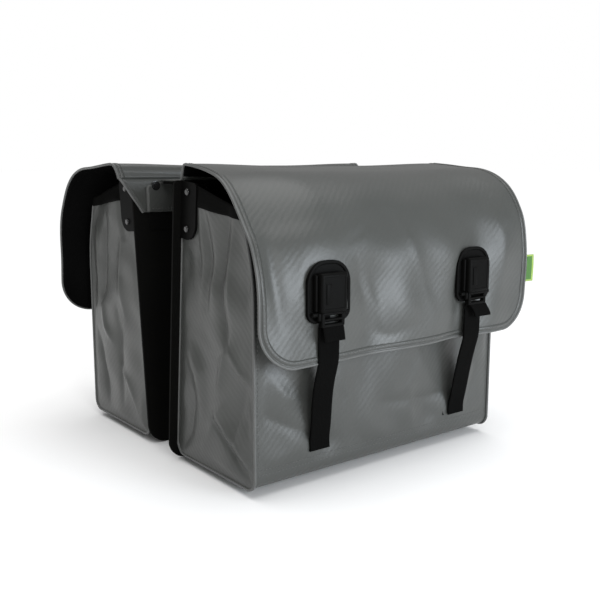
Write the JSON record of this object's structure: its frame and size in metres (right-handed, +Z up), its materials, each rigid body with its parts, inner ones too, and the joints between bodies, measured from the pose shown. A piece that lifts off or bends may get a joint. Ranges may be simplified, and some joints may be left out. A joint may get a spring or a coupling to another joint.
{
  "type": "pannier bag",
  "caption": "Double bicycle pannier of coated tarpaulin: two boxy bags with strapped flap lids, joined by a bridge that lies on a rear carrier.",
  "frame": {"origin": "centre of the bridge's underside, the face that rests on the carrier", "axes": "+X along the bicycle, +Y across it towards the far bag, +Z up"},
  "size_m": [0.458, 0.493, 0.3611],
  "materials": {
    "tarpaulin": "coated truck tarpaulin, mid grey, satin",
    "piping": "grey binding over a cord, satin",
    "board": "black polyethylene sheet, fine grain",
    "band": "black stiff binding band",
    "bracket": "black moulded plastic",
    "screw": "black-coated steel",
    "webbing": "black woven polypropylene webbing",
    "buckle": "black moulded acetal, satin",
    "tag": "plain green woven tag with a lighter border"
  },
  "bodies": {
    "bridge": {"bridge_lining": "tarpaulin", "bridge_stiffener": "board", "bridge_panel": "tarpaulin"},
    "near_bag": {"near_body_wrap": "tarpaulin", "near_left_gusset": "tarpaulin", "near_right_gusset": "tarpaulin", "near_seam_piping": "piping", "near_back_board": "board", "near_base_board": "board", "near_left_bracket": "bracket", "near_right_bracket": "bracket", "near_bracket_screws": "screw", "near_rim_band": "band", "near_hanger": "tarpaulin", "near_rear_strip": "tarpaulin", "near_bridge_screws": "screw", "near_strap_anchors": "webbing"},
    "near_flap": {"near_flap": "tarpaulin", "near_flap_piping": "piping", "near_left_latch": "buckle", "near_right_latch": "buckle", "near_latch_backings": "board", "near_latch_screws": "screw", "near_side_tag": "tag"},
    "near_left_strap": {"near_left_clip": "buckle", "near_left_strap": "webbing"},
    "near_right_strap": {"near_right_clip": "buckle", "near_right_strap": "webbing"},
    "far_bag": {"far_body_wrap": "tarpaulin", "far_left_gusset": "tarpaulin", "far_right_gusset": "tarpaulin", "far_seam_piping": "piping", "far_back_board": "board", "far_base_board": "board", "far_left_bracket": "bracket", "far_right_bracket": "bracket", "far_bracket_screws": "screw", "far_rim_band": "band", "far_hanger": "tarpaulin", "far_rear_strip": "tarpaulin", "far_bridge_screws": "screw", "far_strap_anchors": "webbing"},
    "far_flap": {"far_flap": "tarpaulin", "far_flap_piping": "piping", "far_left_latch": "buckle", "far_right_latch": "buckle", "far_latch_backings": "board", "far_latch_screws": "screw"},
    "far_left_strap": {"far_left_clip": "buckle", "far_left_strap": "webbing"},
    "far_right_strap": {"far_right_clip": "buckle", "far_right_strap": "webbing"}
  },
  "joints": [
    {"name": "near_bag_swing", "type": "hinge", "parent": "bridge", "child": "near_bag", "pos_m": [0, -0.05782, 0.00053], "axis": [-1, 0, 0], "range_deg": [0, 12]},
    {"name": "near_flap_hinge", "type": "hinge", "parent": "near_bag", "child": "near_flap", "pos_m": [0, -0.06009, 0.00586], "axis": [-1, 0, 0], "range_deg": [0, 75]},
    {"name": "near_left_strap_swing", "type": "hinge", "parent": "near_bag", "child": "near_left_strap", "pos_m": [-0.115, -0.2032, -0.282], "axis": [1, 0, 0], "range_deg": [0, 90], "deforming": ["near_left_strap"]},
    {"name": "near_right_strap_swing", "type": "hinge", "parent": "near_bag", "child": "near_right_strap", "pos_m": [0.115, -0.2032, -0.282], "axis": [1, 0, 0], "range_deg": [0, 90], "deforming": ["near_right_strap"]},
    {"name": "far_bag_swing", "type": "hinge", "parent": "bridge", "child": "far_bag", "pos_m": [0, 0.05782, 0.00053], "axis": [1, 0, 0], "range_deg": [0, 12]},
    {"name": "far_flap_hinge", "type": "hinge", "parent": "far_bag", "child": "far_flap", "pos_m": [0, 0.06009, 0.00586], "axis": [1, 0, 0], "range_deg": [0, 75]},
    {"name": "far_left_strap_swing", "type": "hinge", "parent": "far_bag", "child": "far_left_strap", "pos_m": [-0.115, 0.2032, -0.282], "axis": [-1, 0, 0], "range_deg": [0, 90], "deforming": ["far_left_strap"]},
    {"name": "far_right_strap_swing", "type": "hinge", "parent": "far_bag", "child": "far_right_strap", "pos_m": [0.115, 0.2032, -0.282], "axis": [-1, 0, 0], "range_deg": [0, 90], "deforming": ["far_right_strap"]}
  ],
  "couplings": [
    {"joint": "near_left_strap_swing", "follows": "near_flap_hinge", "ratio": 1.2},
    {"joint": "near_right_strap_swing", "follows": "near_flap_hinge", "ratio": 1.2},
    {"joint": "far_left_strap_swing", "follows": "far_flap_hinge", "ratio": 1.2},
    {"joint": "far_right_strap_swing", "follows": "far_flap_hinge", "ratio": 1.2}
  ]
}
